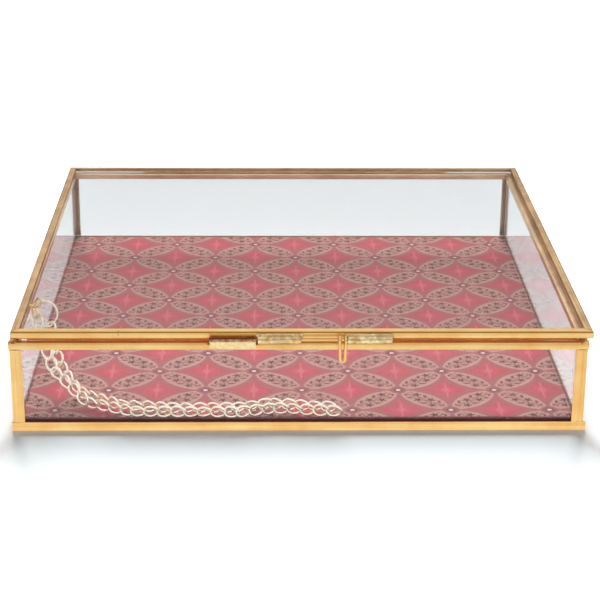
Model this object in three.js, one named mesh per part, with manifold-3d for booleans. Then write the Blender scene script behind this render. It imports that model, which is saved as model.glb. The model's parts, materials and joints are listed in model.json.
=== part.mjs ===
// Glass box: a brass-framed display case with a hinged glass lid, a sliding closure and a folded chain.
// Millimetres, +Z up, +X to the right, +Y to the back.
import * as THREE from 'three';
import { mergeVertices } from 'three/addons/utils/BufferGeometryUtils.js';
import Module from 'manifold-3d';

const wasm = await Module();
wasm.setup();

// Driving dimensions of the case
const baseWidth = 298.9;
const baseDepth = 299.1;
const baseHeight = 49.5;
const lidExtraWidth = 1.1;
const lidSetback = 2;
const lidSideShift = 1.7;
const lidGap = 1.4;

// Sheet, glass and the running gap between neighbours
const sheet = 0.5;
const glass = 3;
const floorGlass = 1.8;
const fit = 0.3;
const overrun = 2;

// Brass sections
const bottomWeb = 4.8;
const bottomFlange = 8;
const bottomRailOverhang = 0.8;
const topWeb = 3.6;
const postLeg = 6.3;
const postInset = 0.5;
const lidFlange = 4.2;
const mitreGap = 0.22;

// Liner
const boardThickness = 1.7;
const coverSheet = 0.3;
const coverGap = 0.1;
const linerSideGap = 0.75;
const linerFrontGap = 3.7;
const linerBackGap = 2.8;

// Hinge at the back
const hingeLength = 203.3;
const hingeSideShift = 2.85;
const hingeTubeRadius = 1.6;
const hingeBoreRadius = 1.05;
const hingeRodRadius = 0.75;
const hingeClearance = 0.2;
const hingeKnuckles = 5;

// Closure at the front
const closureLeft = -46.4;
const keeperLength = 24;
const keeperSpace = 1;
const innerTubeLength = 22.1;
const closureOpening = 24;
const outerTubeLength = 22.7;
const guideRadius = 2.8;
const guideBoreRadius = 1.7;
const boltRadius = 0.7;
const boltLength = 60.4;
const boltDrop = 0.5;
const boltLead = 0.2;
const boltEndInset = 1;
const keeperTubeRadius = 1.4;
const keeperBoreRadius = 1.05;
const keeperPlateDrop = 2.8;
const keeperPlate = 0.5;
const pullWire = 0.55;
const pullSpread = 3.4;
const pullLength = 12.9;
const pullEyeClearance = 0.2;

// Chain
const linkHalf = 3.88;
const linkWidthHalf = 3.1;
const linkWire = 0.5;
const linkPitch = 7;
const pivotReach = 0.75;
const smallRingRadius = 2.4;
const bigRingRadius = 7;
const bigRingWire = 0.6;
const eyeRadius = 2.4;
const eyeWire = 0.5;
const eyeInset = 3.55;
const eyeDrop = 2.2;
const baseStrandBehindGlass = 6.9;
const lidStrandBehindGlass = 1.8;
const strapWidth = 3;
const strapReach = 3.15;
const chainClearance = 0.2;

// Which way the chain's eyes and its big ring face, and which way each ring hangs from its eye
const baseEyeFaces = new THREE.Vector3(-0.63, -0.69, 0.35);
const baseRingHangs = new THREE.Vector3(0.48, -0.38, -0.76);
const baseRingFaces = new THREE.Vector3(0.04, -0.89, 0.45);
const lidEyeFaces = new THREE.Vector3(0.85, -0.06, 0.52);
const lidRingHangs = new THREE.Vector3(0.15, -0.3, -1);

// Smoothness
const roundSides = 16;
const wireSides = 5;
const linkSteps = 14;
const ringSteps = 24;
const rodSides = 12;

// Places that follow from the sizes above
const frontChannel = sheet + fit + glass + fit + sheet;
const sideChannel = postInset + frontChannel;
const frontGlassBack = sheet + fit + glass;
const sideGlassOut = postInset + sheet + fit;
const sideGlassIn = sideGlassOut + glass;
const railBottom = baseHeight - topWeb;
const glassBottom = sheet + fit;
const glassTop = baseHeight - sheet - fit;
const floorBottom = sheet + fit;
const boardBottom = floorBottom + floorGlass + fit;
const boardTop = boardBottom + boardThickness;
const coverTop = boardTop + coverGap + coverSheet;
const lidWidth = baseWidth + lidExtraWidth;
const lidDepth = baseDepth - lidSetback;
const lidHeight = sheet + fit / 2 + glass + fit / 2 + sheet;
const lidBottom = baseHeight + lidGap;
const hingeY = baseDepth + hingeClearance + hingeTubeRadius;
const hingeZ = baseHeight + lidGap / 2;
const innerLeft = -baseWidth / 2 + sideChannel;

// Materials
const brass = new THREE.MeshStandardMaterial({ color: 0xe8b968, roughness: 0.28, metalness: 1 });
const agedBrass = new THREE.MeshStandardMaterial({ color: 0xb9a86a, roughness: 0.5, metalness: 1 });
const paleGold = new THREE.MeshStandardMaterial({ color: 0xf0dcb0, roughness: 0.25, metalness: 1 });
const clearGlass = new THREE.MeshStandardMaterial({ color: 0xf2f6f4, roughness: 0.02, metalness: 0 });
clearGlass.transparent = true;
clearGlass.opacity = 0.25;
const greyBoard = new THREE.MeshStandardMaterial({ color: 0x6e6058, roughness: 0.9, metalness: 0 });
const printedCloth = new THREE.MeshStandardMaterial({ color: 0xb0807c, roughness: 0.85, metalness: 0 });

const group = new THREE.Group();

function addMesh(name, geometry, material, parent = group) {
  const mesh = new THREE.Mesh(geometry, material);
  mesh.name = name;
  parent.add(mesh);
  return mesh;
}

// Solids and their joining
function toSolid(geometry) {
  const bare = geometry.clone();
  bare.deleteAttribute('normal');
  bare.deleteAttribute('uv');
  const merged = mergeVertices(bare);
  const vertProperties = new Float32Array(merged.attributes.position.array);
  const triVerts = new Uint32Array(merged.index.array);
  return new wasm.Manifold(new wasm.Mesh({ numProp: 3, vertProperties, triVerts }));
}

function toGeometry(solid) {
  const mesh = solid.getMesh();
  const geometry = new THREE.BufferGeometry();
  geometry.setAttribute('position', new THREE.BufferAttribute(mesh.vertProperties, 3));
  geometry.setIndex(new THREE.BufferAttribute(mesh.triVerts, 1));
  geometry.computeVertexNormals();
  return geometry;
}

function joined(geometries) {
  const solids = geometries.map(toSolid);
  return toGeometry(solids.reduce((sum, solid) => sum.add(solid)));
}

function boxBetween(x0, x1, y0, y1, z0, z1) {
  const geometry = new THREE.BoxGeometry(x1 - x0, y1 - y0, z1 - z0);
  geometry.translate((x0 + x1) / 2, (y0 + y1) / 2, (z0 + z1) / 2);
  return geometry;
}

// A round bar or a tube lying along X, centred on its own origin
function barAlongX(radius, length, sides) {
  const geometry = new THREE.CylinderGeometry(radius, radius, length, sides);
  geometry.rotateZ(Math.PI / 2);
  return geometry;
}

function tubeAlongX(outer, bore, length, sides) {
  const half = length / 2;
  const profile = [
    new THREE.Vector2(bore, -half),
    new THREE.Vector2(outer, -half),
    new THREE.Vector2(outer, half),
    new THREE.Vector2(bore, half),
    new THREE.Vector2(bore, -half),
  ];
  const geometry = new THREE.LatheGeometry(profile, sides);
  geometry.rotateZ(Math.PI / 2);
  return geometry;
}

// A wall piece: its section is drawn as distance inward and height, and it runs along the wall
function wallGeometry(section, length) {
  const points = section.map(([inward, height]) => new THREE.Vector2(inward, height));
  const geometry = new THREE.ExtrudeGeometry(new THREE.Shape(points), { depth: length, bevelEnabled: false });
  geometry.translate(0, 0, -length / 2);
  const basis = new THREE.Matrix4();
  basis.makeBasis(new THREE.Vector3(0, 1, 0), new THREE.Vector3(0, 0, 1), new THREE.Vector3(1, 0, 0));
  return geometry.applyMatrix4(basis);
}

function wallPlaces(width, depth) {
  return {
    front: { turn: 0, x: 0, y: 0, run: width },
    right: { turn: Math.PI / 2, x: width / 2, y: depth / 2, run: depth },
    back: { turn: Math.PI, x: 0, y: depth, run: width },
    left: { turn: -Math.PI / 2, x: -width / 2, y: depth / 2, run: depth },
  };
}

function placeOnWall(mesh, wall) {
  mesh.position.set(wall.x, wall.y, 0);
  mesh.rotation.z = wall.turn;
}

function rectangle(inward0, inward1, height0, height1) {
  return [[inward0, height0], [inward1, height0], [inward1, height1], [inward0, height1]];
}

function angleSection() {
  return [
    [0, 0],
    [bottomFlange, 0],
    [bottomFlange, sheet],
    [sheet, sheet],
    [sheet, bottomWeb],
    [0, bottomWeb],
  ];
}

function topChannelSection(width) {
  return [
    [0, railBottom],
    [sheet, railBottom],
    [sheet, baseHeight - sheet],
    [width - sheet, baseHeight - sheet],
    [width - sheet, railBottom],
    [width, railBottom],
    [width, baseHeight],
    [0, baseHeight],
  ];
}

function lidChannelSection() {
  const top = lidBottom + lidHeight;
  return [
    [0, lidBottom],
    [lidFlange, lidBottom],
    [lidFlange, lidBottom + sheet],
    [sheet, lidBottom + sheet],
    [sheet, top - sheet],
    [lidFlange, top - sheet],
    [lidFlange, top],
    [0, top],
  ];
}

// Base frame
const baseWalls = wallPlaces(baseWidth, baseDepth);

// The side rails pass over the flanges of the front and back ones
function clearedEnds(geometry, length) {
  const notch = bottomFlange - sheet;
  let solid = toSolid(geometry);
  for (const side of [-1, 1]) {
    const end = (side * length) / 2;
    const inner = end - side * notch;
    const low = Math.min(inner, end + side * overrun);
    const high = Math.max(inner, end + side * overrun);
    const cut = boxBetween(low, high, -overrun, bottomFlange + overrun, -overrun, sheet + fit);
    solid = solid.subtract(toSolid(cut));
  }
  return toGeometry(solid);
}

function bottomRails() {
  for (const [side, wall] of Object.entries(baseWalls)) {
    const across = side === 'front' || side === 'back';
    const overhang = side === 'front' ? bottomRailOverhang : 0;
    const length = across ? wall.run + overhang : wall.run - 2 * (sheet + fit);
    const geometry = wallGeometry(angleSection(), length);
    geometry.translate(overhang / 2, 0, 0);
    const rail = across ? geometry : clearedEnds(geometry, length);
    placeOnWall(addMesh(`${side}_bottom_rail`, rail, brass), wall);
  }
}

function topRails() {
  for (const [side, wall] of Object.entries(baseWalls)) {
    const across = side === 'front' || side === 'back';
    const width = across ? frontChannel : sideChannel;
    const length = across ? wall.run : wall.run - 2 * (frontChannel + fit);
    placeOnWall(addMesh(`${side}_top_rail`, wallGeometry(topChannelSection(width), length), brass), wall);
  }
}

function postGeometry() {
  const outline = [
    [0, 0],
    [postLeg, 0],
    [postLeg, sheet],
    [sheet, sheet],
    [sheet, postLeg],
    [0, postLeg],
  ];
  const shape = new THREE.Shape(outline.map(([x, y]) => new THREE.Vector2(x, y)));
  const height = railBottom - bottomWeb - 2 * fit;
  return new THREE.ExtrudeGeometry(shape, { depth: height, bevelEnabled: false });
}

function posts() {
  const half = baseWidth / 2 - postInset;
  const corners = [
    ['front_left_post', -half, 0, 0],
    ['front_right_post', half, 0, Math.PI / 2],
    ['back_right_post', half, baseDepth, Math.PI],
    ['back_left_post', -half, baseDepth, -Math.PI / 2],
  ];
  for (const [name, x, y, turn] of corners) {
    const mesh = addMesh(name, postGeometry(), brass);
    mesh.position.set(x, y, bottomWeb + fit);
    mesh.rotation.z = turn;
  }
}

function panes() {
  const acrossLength = baseWidth - 2 * sideGlassOut;
  const sideLength = baseDepth - 2 * (frontChannel + fit);
  for (const [side, wall] of Object.entries(baseWalls)) {
    const across = side === 'front' || side === 'back';
    const outer = across ? sheet + fit : sideGlassOut;
    const section = rectangle(outer, outer + glass, glassBottom, glassTop);
    const geometry = wallGeometry(section, across ? acrossLength : sideLength);
    placeOnWall(addMesh(`${side}_pane`, geometry, clearGlass), wall);
  }
  const halfX = baseWidth / 2 - sideGlassIn - fit;
  const inset = frontGlassBack + fit;
  const floor = boxBetween(-halfX, halfX, inset, baseDepth - inset, floorBottom, floorBottom + floorGlass);
  addMesh('bottom_pane', floor, clearGlass);
}

// Liner: a stiff board with a thin printed cover pasted over its top and edges
function liner() {
  const halfX = baseWidth / 2 - sideGlassIn - linerSideGap;
  const y0 = frontGlassBack + linerFrontGap;
  const y1 = baseDepth - frontGlassBack - linerBackGap;
  const skin = coverSheet + coverGap;
  const board = boxBetween(-halfX + skin, halfX - skin, y0 + skin, y1 - skin, boardBottom, boardTop);
  addMesh('liner_board', board, greyBoard);
  const outside = boxBetween(-halfX, halfX, y0, y1, boardBottom, coverTop);
  const hollow = boxBetween(
    -halfX + coverSheet, halfX - coverSheet,
    y0 + coverSheet, y1 - coverSheet,
    boardBottom - overrun, boardTop + coverGap,
  );
  addMesh('printed_cover', toGeometry(toSolid(outside).subtract(toSolid(hollow))), printedCloth);
}

// Lid
const lidWalls = wallPlaces(lidWidth, lidDepth);
const lid = new THREE.Group();
lid.position.set(lidSideShift, lidSetback, 0);
group.add(lid);

function mitredRail(length) {
  const half = length / 2 - mitreGap;
  const plan = [
    [-half + overrun, -overrun],
    [half - overrun, -overrun],
    [half, 0],
    [half - lidFlange - overrun, lidFlange + overrun],
    [-half + lidFlange + overrun, lidFlange + overrun],
    [-half, 0],
  ];
  const shape = new THREE.Shape(plan.map(([x, y]) => new THREE.Vector2(x, y)));
  const height = lidHeight + 2 * overrun;
  const prism = new THREE.ExtrudeGeometry(shape, { depth: height, bevelEnabled: false });
  prism.translate(0, 0, lidBottom - overrun);
  const bar = wallGeometry(lidChannelSection(), length);
  return toGeometry(toSolid(bar).intersect(toSolid(prism)));
}

function lidFrame() {
  for (const [side, wall] of Object.entries(lidWalls)) {
    placeOnWall(addMesh(`lid_${side}_rail`, mitredRail(wall.run), brass, lid), wall);
  }
  const inset = sheet + fit / 2;
  const halfX = lidWidth / 2 - inset;
  const z0 = lidBottom + sheet + fit / 2;
  const pane = boxBetween(-halfX, halfX, inset, lidDepth - inset, z0, z0 + glass);
  addMesh('lid_pane', pane, clearGlass, lid);
}

// Hinge: five knuckles on one rod, the first, third and fifth on the base
function hinge() {
  const step = (hingeLength + fit) / hingeKnuckles;
  const left = hingeSideShift - hingeLength / 2;
  for (let index = 0; index < hingeKnuckles; index += 1) {
    const owner = index % 2 === 0 ? 'base' : 'lid';
    const number = Math.floor(index / 2) + 1;
    const geometry = tubeAlongX(hingeTubeRadius, hingeBoreRadius, step - fit, rodSides);
    const mesh = addMesh(`${owner}_knuckle_${number}`, geometry, agedBrass);
    mesh.position.set(left + step * (index + 0.5) - fit / 2, hingeY, hingeZ);
  }
  const rod = addMesh('hinge_rod', barAlongX(hingeRodRadius, hingeLength, rodSides), agedBrass);
  rod.position.set(hingeSideShift, hingeY, hingeZ);
}

// Closure: two guide tubes on the lid, a rolled keeper on the base, a sliding bolt and its wire pull
const guideY = lidSetback - fit - guideRadius;
const guideZ = baseHeight + guideRadius;
const boltY = guideY - boltLead;
const boltZ = guideZ - boltDrop;
const innerTubeLeft = closureLeft + keeperLength + keeperSpace;
const openingLeft = innerTubeLeft + innerTubeLength;
const outerTubeLeft = openingLeft + closureOpening;

function guideTubes() {
  const tubes = [
    ['inner_guide_tube', innerTubeLeft, innerTubeLength],
    ['outer_guide_tube', outerTubeLeft, outerTubeLength],
  ];
  for (const [name, left, length] of tubes) {
    const mesh = addMesh(name, tubeAlongX(guideRadius, guideBoreRadius, length, roundSides), agedBrass);
    mesh.position.set(left + length / 2, guideY, guideZ);
  }
}

function keeper() {
  const plateBottom = baseHeight - keeperPlateDrop;
  const plate = boxBetween(
    -keeperLength / 2, keeperLength / 2,
    -fit - keeperPlate, -fit,
    plateBottom, boltZ - keeperBoreRadius / 2,
  );
  plate.translate(0, -boltY, -boltZ);
  const roll = barAlongX(keeperTubeRadius, keeperLength, roundSides);
  const bore = barAlongX(keeperBoreRadius, keeperLength + overrun, roundSides);
  const solid = toSolid(roll).add(toSolid(plate)).subtract(toSolid(bore));
  const mesh = addMesh('keeper', toGeometry(solid), agedBrass);
  mesh.position.set(closureLeft + keeperLength / 2, boltY, boltZ);
}

const boltRight = outerTubeLeft + outerTubeLength - boltEndInset;
const pullEyeRadius = boltRadius + pullEyeClearance + pullWire;
const pullX = outerTubeLeft - fit - pullWire - pullSpread / 2;

function bolt() {
  const mesh = addMesh('clasp_bolt', barAlongX(boltRadius, boltLength, rodSides), agedBrass);
  mesh.position.set(boltRight - boltLength / 2, boltY, boltZ);
}

// The pull is one bent wire: two eyes round the bolt and two legs that meet in a round tip
class PullCurve extends THREE.Curve {
  getPoint(t) {
    const radius = pullSpread / 2;
    const straight = pullLength - radius - pullWire - pullEyeRadius;
    const arc = Math.PI * radius;
    const along = t * (2 * straight + arc);
    const top = -pullEyeRadius;
    if (along < straight) return new THREE.Vector3(-radius, 0, top - along);
    if (along > straight + arc) return new THREE.Vector3(radius, 0, top - (2 * straight + arc - along));
    const angle = (along - straight) / radius;
    return new THREE.Vector3(-radius * Math.cos(angle), 0, top - straight - radius * Math.sin(angle));
  }
}

function wireSection(radius, sides) {
  const points = [];
  for (let index = 0; index < sides; index += 1) {
    const angle = (2 * Math.PI * index) / sides;
    points.push(new THREE.Vector2(radius * Math.cos(angle), radius * Math.sin(angle)));
  }
  return new THREE.Shape(points);
}

function pull() {
  const legs = new THREE.ExtrudeGeometry(wireSection(pullWire, 2 * wireSides), {
    steps: ringSteps,
    extrudePath: new PullCurve(),
    bevelEnabled: false,
  });
  const eyes = [-1, 1].map((side) => {
    const eye = new THREE.TorusGeometry(pullEyeRadius, pullWire, 2 * wireSides, roundSides);
    eye.rotateY(Math.PI / 2);
    eye.translate((side * pullSpread) / 2, 0, 0);
    return eye;
  });
  const mesh = addMesh('clasp_pull', joined([legs, ...eyes]), brass);
  mesh.position.set(pullX, boltY, boltZ);
}

// Chain: twisted curb links in two strands, one from the base and one from the lid
class LinkCurve extends THREE.Curve {
  getPoint(t) {
    const angle = 2 * Math.PI * t;
    const twist = (Math.PI / 4) * Math.cos(angle);
    const reach = linkWidthHalf * Math.sin(angle);
    return new THREE.Vector3(linkHalf * Math.cos(angle), -reach * Math.sin(twist), reach * Math.cos(twist));
  }
}

// A wire that closes on itself along a closed curve
function closedWire(curve, radius, steps, sides) {
  const frames = curve.computeFrenetFrames(steps, true);
  const positions = [];
  const indices = [];
  for (let step = 0; step < steps; step += 1) {
    const centre = curve.getPointAt(step / steps);
    for (let side = 0; side < sides; side += 1) {
      const angle = (2 * Math.PI * side) / sides;
      const out = frames.normals[step].clone().multiplyScalar(radius * Math.cos(angle));
      out.addScaledVector(frames.binormals[step], radius * Math.sin(angle));
      positions.push(...centre.clone().add(out).toArray());
      const next = (step + 1) % steps;
      const beside = (side + 1) % sides;
      const a = step * sides + side;
      const b = next * sides + side;
      const c = next * sides + beside;
      const d = step * sides + beside;
      indices.push(a, d, b, b, d, c);
    }
  }
  const geometry = new THREE.BufferGeometry();
  geometry.setAttribute('position', new THREE.Float32BufferAttribute(positions, 3));
  geometry.setIndex(indices);
  return geometry;
}

function runGeometry(links) {
  const link = toSolid(closedWire(new LinkCurve(), linkWire, linkSteps, wireSides));
  let solid = link.translate([linkHalf - pivotReach, 0, 0]);
  for (let index = 1; index < links; index += 1) {
    solid = solid.add(link.translate([linkHalf - pivotReach + index * linkPitch, 0, 0]));
  }
  return toGeometry(solid);
}

function runLength(links) {
  return (links - 1) * linkPitch + 2 * (linkHalf - pivotReach);
}

// The fewest links that span a height
function linksForHeight(height) {
  return Math.ceil((height - runLength(0)) / linkPitch);
}

const degree = Math.PI / 180;
const chainRest = coverTop + linkWidthHalf + linkWire + chainClearance;
const eyeX = innerLeft + eyeInset;
const eyeZ = baseHeight - eyeDrop;

// Each run: its links, its heading in plan and its roll in degrees, and its share of the drop to the liner
const baseRuns = [
  { links: 3, heading: -57, dropShare: 0.62, roll: 50 },
  { links: 3, heading: -48, dropShare: 0.38, roll: 25 },
  { links: 4, heading: -37, dropShare: 0, roll: 0 },
  { links: 4, heading: -10, dropShare: 0, roll: 0 },
  { links: 5, heading: 0, dropShare: 0, roll: 0 },
  { links: 3, heading: 16, dropShare: 0, roll: 0 },
  { links: 5, heading: -8, dropShare: 0, roll: 0 },
];
const lidRuns = [
  { links: 4, heading: -50, dropShare: 0.66, roll: 65 },
  { links: 4, heading: -40, dropShare: 0.34, roll: 35 },
  { links: 4, heading: -25, dropShare: 0, roll: 0 },
  { links: 8, heading: -1, dropShare: 0, roll: 0 },
  { links: 3, heading: 14, dropShare: 0, roll: 0 },
  { links: 5, heading: -7, dropShare: 0, roll: 0 },
];

function strandRuns(start, table) {
  const drop = start.z - chainRest;
  const runs = [];
  const pivot = start.clone();
  for (const { links: chosenLinks, heading, dropShare, roll } of table) {
    const fall = dropShare * drop;
    const links = Math.max(chosenLinks, linksForHeight(fall));
    const length = runLength(links);
    const dip = Math.asin(fall / length);
    const level = Math.cos(dip);
    const x = level * Math.cos(heading * degree);
    const y = level * Math.sin(heading * degree);
    const along = new THREE.Vector3(x, y, -Math.sin(dip));
    runs.push({ links, pivot: pivot.clone(), along, roll });
    pivot.addScaledVector(along, length);
  }
  return runs;
}

function strandStart(anchor, ringAlong, ringRadius) {
  return anchor.clone().addScaledVector(ringAlong, 2 * ringRadius - pivotReach);
}

// An eye stands as far back as brings its strand down at the strand's own distance behind the front glass
function eyeBack(ringHangs, ringRadius, table, behindGlass) {
  const start = strandStart(new THREE.Vector3(0, 0, eyeZ), ringHangs.clone().normalize(), ringRadius);
  const foremost = Math.min(...strandRuns(start, table).map((run) => run.pivot.y));
  return frontGlassBack + behindGlass - foremost;
}

// The runs on the liner stand on edge; the hanging ones take their sideways direction from the next one
function sidewaysOfRuns(runs) {
  const up = new THREE.Vector3(0, 0, 1);
  let following = null;
  for (const run of [...runs].reverse()) {
    if (run.along.z === 0 || following === null) {
      run.sideways = up.clone().cross(run.along).normalize();
    } else {
      const turn = new THREE.Quaternion().setFromUnitVectors(following.along, run.along);
      run.sideways = following.sideways.clone().applyQuaternion(turn);
    }
    following = run;
  }
}

function strand(name, anchor, ringAlong, ringFace, ringRadius, ringWire, table) {
  const ring = addMesh(
    `${name}_chain_ring`,
    new THREE.TorusGeometry(ringRadius, ringWire, wireSides + 1, ringSteps),
    paleGold,
  );
  ring.position.copy(anchor).addScaledVector(ringAlong, ringRadius);
  ring.quaternion.setFromUnitVectors(new THREE.Vector3(0, 0, 1), ringFace);
  const runs = strandRuns(strandStart(anchor, ringAlong, ringRadius), table);
  sidewaysOfRuns(runs);
  runs.forEach((run, index) => {
    const mesh = addMesh(`${name}_chain_run_${index + 1}`, runGeometry(run.links), paleGold);
    const sideways = run.sideways.clone().applyAxisAngle(run.along, run.roll * degree);
    const upward = run.along.clone().cross(sideways);
    mesh.position.copy(run.pivot);
    mesh.quaternion.setFromRotationMatrix(new THREE.Matrix4().makeBasis(run.along, sideways, upward));
  });
}

function eyeGeometry(axis) {
  const eye = new THREE.TorusGeometry(eyeRadius, eyeWire, wireSides + 1, ringSteps);
  const turn = new THREE.Quaternion().setFromUnitVectors(new THREE.Vector3(0, 0, 1), axis);
  return eye.applyQuaternion(turn);
}

// The direction across the axis that comes nearest to the one asked for
function acrossAxis(direction, axis) {
  return direction.clone().addScaledVector(axis, -direction.dot(axis)).normalize();
}

const baseEyeBack = eyeBack(baseRingHangs, bigRingRadius, baseRuns, baseStrandBehindGlass);
const lidEyeBack = eyeBack(lidRingHangs, smallRingRadius, lidRuns, lidStrandBehindGlass);

function baseEye() {
  const axis = baseEyeFaces.clone().normalize();
  const outmost = acrossAxis(new THREE.Vector3(-1, 0, 0), axis).multiplyScalar(eyeRadius);
  const peg = boxBetween(
    innerLeft + fit - eyeX, outmost.x + eyeWire / 2,
    outmost.y - eyeWire, outmost.y + eyeWire,
    outmost.z - eyeWire, outmost.z + eyeWire,
  );
  const mesh = addMesh('base_chain_eye', joined([eyeGeometry(axis), peg]), brass);
  mesh.position.set(eyeX, baseEyeBack, eyeZ);
}

function lidEye() {
  const axis = lidEyeFaces.clone().normalize();
  const top = acrossAxis(new THREE.Vector3(0, 0, 1), axis).multiplyScalar(eyeRadius);
  const strapBottom = baseHeight + fit - eyeZ;
  const strapTop = lidBottom - fit - eyeZ;
  const stem = boxBetween(
    top.x - eyeWire, top.x + eyeWire,
    top.y - eyeWire, top.y + eyeWire,
    top.z - eyeWire / 2, strapTop,
  );
  const strapLeft = innerLeft - strapReach - eyeX;
  const strap = boxBetween(
    strapLeft, top.x + eyeWire,
    top.y - strapWidth / 2, top.y + strapWidth / 2,
    strapBottom, strapTop,
  );
  const mesh = addMesh('lid_chain_eye', joined([eyeGeometry(axis), stem, strap]), brass);
  mesh.position.set(eyeX, lidEyeBack, eyeZ);
}

function chain() {
  const baseAnchor = new THREE.Vector3(eyeX, baseEyeBack, eyeZ);
  const baseAlong = baseRingHangs.clone().normalize();
  const baseFace = acrossAxis(baseRingFaces, baseAlong);
  strand('base', baseAnchor, baseAlong, baseFace, bigRingRadius, bigRingWire, baseRuns);
  baseEye();
  const lidAnchor = new THREE.Vector3(eyeX, lidEyeBack, eyeZ);
  const lidAlong = lidRingHangs.clone().normalize();
  const lidFace = lidAlong.clone().cross(lidEyeFaces).normalize();
  strand('lid', lidAnchor, lidAlong, lidFace, smallRingRadius, linkWire, lidRuns);
  lidEye();
}

bottomRails();
topRails();
posts();
panes();
liner();
lidFrame();
hinge();
guideTubes();
keeper();
bolt();
pull();
chain();

// The origin is the centre of the bounding box, on the surface that the box stands on
const left = -baseWidth / 2;
const right = lidSideShift + lidWidth / 2;
const front = guideY - guideRadius;
const back = hingeY + hingeTubeRadius;
group.position.set(-(left + right) / 2, -(front + back) / 2, 0);

export default group;
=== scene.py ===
"""Looks of the glass box: brass frame and lid, glass, printed liner, closure and folded chain.

Metres, +Z up, +X to the right of someone facing the closure, +Y from the closure to the hinge.
"""
import json
import math

import bmesh
import bpy
from mathutils import Matrix, Vector, noise


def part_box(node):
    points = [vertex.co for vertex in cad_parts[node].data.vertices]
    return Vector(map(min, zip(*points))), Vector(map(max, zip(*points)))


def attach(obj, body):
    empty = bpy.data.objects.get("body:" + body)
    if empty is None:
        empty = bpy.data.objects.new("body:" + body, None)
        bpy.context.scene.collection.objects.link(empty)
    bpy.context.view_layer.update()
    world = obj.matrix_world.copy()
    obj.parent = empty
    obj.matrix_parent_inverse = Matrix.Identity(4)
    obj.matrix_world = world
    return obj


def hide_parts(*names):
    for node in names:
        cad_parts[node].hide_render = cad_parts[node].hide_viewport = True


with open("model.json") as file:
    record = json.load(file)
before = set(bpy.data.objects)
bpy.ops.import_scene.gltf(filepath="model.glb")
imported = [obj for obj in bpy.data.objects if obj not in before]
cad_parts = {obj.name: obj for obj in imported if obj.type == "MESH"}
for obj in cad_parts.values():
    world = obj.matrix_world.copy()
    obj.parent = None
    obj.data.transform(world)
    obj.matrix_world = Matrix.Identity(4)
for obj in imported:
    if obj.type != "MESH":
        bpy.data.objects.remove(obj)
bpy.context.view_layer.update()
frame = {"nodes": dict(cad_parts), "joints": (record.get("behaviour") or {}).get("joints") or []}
nodes = frame["nodes"]
pivots = {joint["name"]: Vector(joint["pos_m"]) for joint in frame["joints"] if "pos_m" in joint}

SIDES = ("front", "right", "back", "left")
MM = 0.001

# The camera, as fitted to the photograph
PHOTO_WIDTH = 600
FOCAL_LENGTH_IN_PIXELS = 1741.9
SENSOR_WIDTH_IN_MM = 36
CAMERA_PLACE = Vector((-0.019715, -0.977070, 0.387770))
CAMERA_PITCH = math.radians(20.80)
CAMERA_YAW = math.radians(1.286)
CAMERA_ROLL = math.radians(0.454)


def add_camera():
    """Looks down at the closure from the front."""
    data = bpy.data.cameras.new("camera")
    data.sensor_width = SENSOR_WIDTH_IN_MM
    data.lens = SENSOR_WIDTH_IN_MM * FOCAL_LENGTH_IN_PIXELS / PHOTO_WIDTH
    camera = bpy.data.objects.new("camera", data)
    bpy.context.scene.collection.objects.link(camera)
    level_right = Vector((math.cos(CAMERA_YAW), -math.sin(CAMERA_YAW), 0))
    level_ahead = Vector((math.sin(CAMERA_YAW), math.cos(CAMERA_YAW), 0))
    ahead = level_ahead * math.cos(CAMERA_PITCH) - Vector((0, 0, math.sin(CAMERA_PITCH)))
    level_up = level_right.cross(ahead)
    right = level_right * math.cos(CAMERA_ROLL) + level_up * math.sin(CAMERA_ROLL)
    up = right.cross(ahead)
    turn = Matrix((right, up, -ahead)).transposed().to_4x4()
    camera.matrix_world = Matrix.Translation(CAMERA_PLACE) @ turn
    bpy.context.scene.camera = camera


def linear(hex_colour):
    """Turns an sRGB hex colour into the linear values that shaders use."""
    shares = [int(hex_colour[place:place + 2], 16) / 255 for place in (0, 2, 4)]
    return [s / 12.92 if s <= 0.04045 else ((s + 0.055) / 1.055) ** 2.4 for s in shares] + [1]


def node(tree, kind, inputs=None, out=0, **settings):
    """Adds a node with its settings, values and links, and gives back one of its outputs."""
    made = tree.nodes.new(kind)
    for name, value in settings.items():
        setattr(made, name, value)
    for name, value in (inputs or {}).items():
        if isinstance(value, bpy.types.NodeSocket):
            tree.links.new(value, made.inputs[name])
        else:
            made.inputs[name].default_value = value
    return made.outputs[out] if made.outputs else None


def new_material(name):
    """An empty material, its node tree and the place on the object."""
    material = bpy.data.materials.new(name)
    material.use_nodes = True
    tree = material.node_tree
    tree.nodes.clear()
    return material, tree, node(tree, "ShaderNodeTexCoord", out="Object")


def spread(tree, value, low, high, to_low=0.0, to_high=1.0):
    """Stretches a value between two limits."""
    return node(tree, "ShaderNodeMapRange",
                {"Value": value, "From Min": low, "From Max": high, "To Min": to_low, "To Max": to_high})


def part(tree, vector, axis):
    """One part of a vector."""
    return node(tree, "ShaderNodeSeparateXYZ", {0: vector}, out=axis)


def between(tree, share, first, second):
    """Mixes two colours, each a hex value or the output of a node."""
    ends = [linear(end) if isinstance(end, str) else end for end in (first, second)]
    return node(tree, "ShaderNodeMix", {"Factor": share, "A": ends[0], "B": ends[1]},
                out="Result", data_type="RGBA")


def mottle(tree, place, size, detail=4.0, roughness=0.6):
    """Irregular patches of about one size."""
    return node(tree, "ShaderNodeTexNoise",
                {"Vector": place, "Scale": 1 / size, "Detail": detail, "Roughness": roughness})


def maths(tree):
    """Two short forms for one tree: a step of arithmetic, and the length of a flat step."""
    def calc(operation, first, second=0.0, third=0.0):
        return node(tree, "ShaderNodeMath", {0: first, 1: second, 2: third}, operation=operation)

    def length(first, second):
        both = node(tree, "ShaderNodeCombineXYZ", {0: first, 1: second})
        return node(tree, "ShaderNodeVectorMath", {0: both}, out="Value", operation="LENGTH")

    return calc, length


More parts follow.
